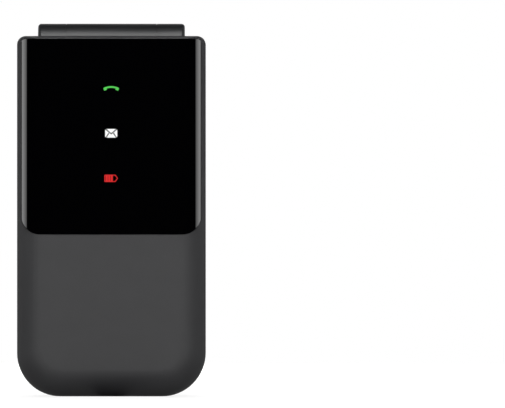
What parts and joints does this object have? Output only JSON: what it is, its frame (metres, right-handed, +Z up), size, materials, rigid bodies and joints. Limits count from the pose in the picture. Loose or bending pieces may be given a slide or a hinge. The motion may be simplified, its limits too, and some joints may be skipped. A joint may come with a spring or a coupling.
{
  "type": "flip phone",
  "caption": "Slim flip phone with a hinged lid, black front window with lit icons, keypad inside, micro-USB socket and a glossy removable back cover.",
  "frame": {"origin": "centre of the closed phone's footprint, at the flat bottom ends that it stands on", "axes": "+X to the socket's side, +Y out of the back cover, +Z up to the hinge barrel; the lid faces -Y"},
  "size_m": [0.0544, 0.019, 0.1077],
  "materials": {
    "soft_touch_grey": "soft-touch paint over moulded plastic",
    "black_moulding": "fine moulded texture",
    "window_black": "polished, backed in black",
    "icon_green": "lit from behind",
    "icon_white": "lit from behind",
    "icon_red": "lit from behind",
    "display_black": "polished, backed in black",
    "display_layer": "laminated panel",
    "steel": "fine brushed",
    "moulded_part": "moulded",
    "circuit_board": "solder resist",
    "led_body": "clear resin",
    "soft_rubber": "moulded",
    "silver_paint": "satin silver",
    "flex_film": "polyimide film",
    "dome_sheet": "laminated film",
    "socket_metal": "drawn and plated",
    "gold_contact": "gold plated",
    "battery_case": "moulded",
    "lens_glass": "coated",
    "flash_diffuser": "clear resin over yellow phosphor",
    "piano_black": "polished mould, high gloss",
    "key_grey": "fine moulded texture",
    "ring_silver": "satin silver"
  },
  "bodies": {
    "base": {"base_front_shell": "soft_touch_grey", "rear_chassis": "black_moulding", "rear_trim": "silver_paint", "hinge_cartridge": "steel", "flex_cable": "flex_film", "keypad_sheet": "dome_sheet", "main_board": "circuit_board", "shield_cans": "steel", "usb_shell": "socket_metal", "usb_tongue": "gold_contact", "microphone": "steel", "vibration_motor": "steel", "sim_holder": "steel", "battery_contacts": "gold_contact", "battery": "battery_case", "camera_module": "moulded_part", "camera_ring": "piano_black", "camera_lens": "lens_glass", "flash_window": "flash_diffuser", "antenna": "gold_contact", "chassis_screws": "steel"},
    "lid": {"lid_outer_shell": "soft_touch_grey", "lid_glass": "window_black", "icon_call": "icon_green", "icon_message": "icon_white", "icon_battery": "icon_red", "lid_inner_shell": "black_moulding", "display_window": "display_black", "display_panel": "display_layer", "earpiece_mesh": "steel", "earpiece_speaker": "moulded_part", "lid_board": "circuit_board", "icon_leds": "led_body", "lid_screws": "steel", "lid_bumpers": "soft_rubber", "lid_magnet": "steel", "hinge_shaft": "steel", "hinge_bush": "steel", "hinge_washers": "black_moulding", "hinge_caps": "soft_touch_grey"},
    "back_cover": {"back_cover": "piano_black"},
    "key_star": {"key_star": "key_grey"},
    "key_0": {"key_0": "key_grey"},
    "key_hash": {"key_hash": "key_grey"},
    "key_7": {"key_7": "key_grey"},
    "key_8": {"key_8": "key_grey"},
    "key_9": {"key_9": "key_grey"},
    "key_4": {"key_4": "key_grey"},
    "key_5": {"key_5": "key_grey"},
    "key_6": {"key_6": "key_grey"},
    "key_1": {"key_1": "key_grey"},
    "key_2": {"key_2": "key_grey"},
    "key_3": {"key_3": "key_grey"},
    "call_key": {"call_key": "key_grey"},
    "clear_key": {"clear_key": "key_grey"},
    "end_key": {"end_key": "key_grey"},
    "nav_ring": {"nav_ring": "ring_silver"},
    "centre_key": {"centre_key": "key_grey"},
    "soft_key_left": {"soft_key_left": "key_grey"},
    "soft_key_right": {"soft_key_right": "key_grey"}
  },
  "joints": [
    {"name": "lid_hinge", "type": "hinge", "parent": "base", "child": "lid", "pos_m": [0, -0.00209, 0.1035], "axis": [-1, 0, 0], "range_deg": [0, 160]},
    {"name": "cover_slide", "type": "slide", "parent": "base", "child": "back_cover", "axis": [0, 1, 0], "range_m": [0, 0.015]},
    {"name": "key_star_press", "type": "slide", "parent": "base", "child": "key_star", "axis": [0, 1, 0], "range_m": [0, 0.0003], "stiffness_N_per_m": 500},
    {"name": "key_0_press", "type": "slide", "parent": "base", "child": "key_0", "axis": [0, 1, 0], "range_m": [0, 0.0003], "stiffness_N_per_m": 500},
    {"name": "key_hash_press", "type": "slide", "parent": "base", "child": "key_hash", "axis": [0, 1, 0], "range_m": [0, 0.0003], "stiffness_N_per_m": 500},
    {"name": "key_7_press", "type": "slide", "parent": "base", "child": "key_7", "axis": [0, 1, 0], "range_m": [0, 0.0003], "stiffness_N_per_m": 500},
    {"name": "key_8_press", "type": "slide", "parent": "base", "child": "key_8", "axis": [0, 1, 0], "range_m": [0, 0.0003], "stiffness_N_per_m": 500},
    {"name": "key_9_press", "type": "slide", "parent": "base", "child": "key_9", "axis": [0, 1, 0], "range_m": [0, 0.0003], "stiffness_N_per_m": 500},
    {"name": "key_4_press", "type": "slide", "parent": "base", "child": "key_4", "axis": [0, 1, 0], "range_m": [0, 0.0003], "stiffness_N_per_m": 500},
    {"name": "key_5_press", "type": "slide", "parent": "base", "child": "key_5", "axis": [0, 1, 0], "range_m": [0, 0.0003], "stiffness_N_per_m": 500},
    {"name": "key_6_press", "type": "slide", "parent": "base", "child": "key_6", "axis": [0, 1, 0], "range_m": [0, 0.0003], "stiffness_N_per_m": 500},
    {"name": "key_1_press", "type": "slide", "parent": "base", "child": "key_1", "axis": [0, 1, 0], "range_m": [0, 0.0003], "stiffness_N_per_m": 500},
    {"name": "key_2_press", "type": "slide", "parent": "base", "child": "key_2", "axis": [0, 1, 0], "range_m": [0, 0.0003], "stiffness_N_per_m": 500},
    {"name": "key_3_press", "type": "slide", "parent": "base", "child": "key_3", "axis": [0, 1, 0], "range_m": [0, 0.0003], "stiffness_N_per_m": 500},
    {"name": "call_key_press", "type": "slide", "parent": "base", "child": "call_key", "axis": [0, 1, 0], "range_m": [0, 0.0003], "stiffness_N_per_m": 500},
    {"name": "clear_key_press", "type": "slide", "parent": "base", "child": "clear_key", "axis": [0, 1, 0], "range_m": [0, 0.0003], "stiffness_N_per_m": 500},
    {"name": "end_key_press", "type": "slide", "parent": "base", "child": "end_key", "axis": [0, 1, 0], "range_m": [0, 0.0003], "stiffness_N_per_m": 500},
    {"name": "nav_ring_press", "type": "slide", "parent": "base", "child": "nav_ring", "axis": [0, 1, 0], "range_m": [0, 0.0003], "stiffness_N_per_m": 500},
    {"name": "centre_key_press", "type": "slide", "parent": "base", "child": "centre_key", "axis": [0, 1, 0], "range_m": [0, 0.0003], "stiffness_N_per_m": 500},
    {"name": "soft_key_left_press", "type": "slide", "parent": "base", "child": "soft_key_left", "axis": [0, 1, 0], "range_m": [0, 0.0003], "stiffness_N_per_m": 500},
    {"name": "soft_key_right_press", "type": "slide", "parent": "base", "child": "soft_key_right", "axis": [0, 1, 0], "range_m": [0, 0.0003], "stiffness_N_per_m": 500}
  ]
}
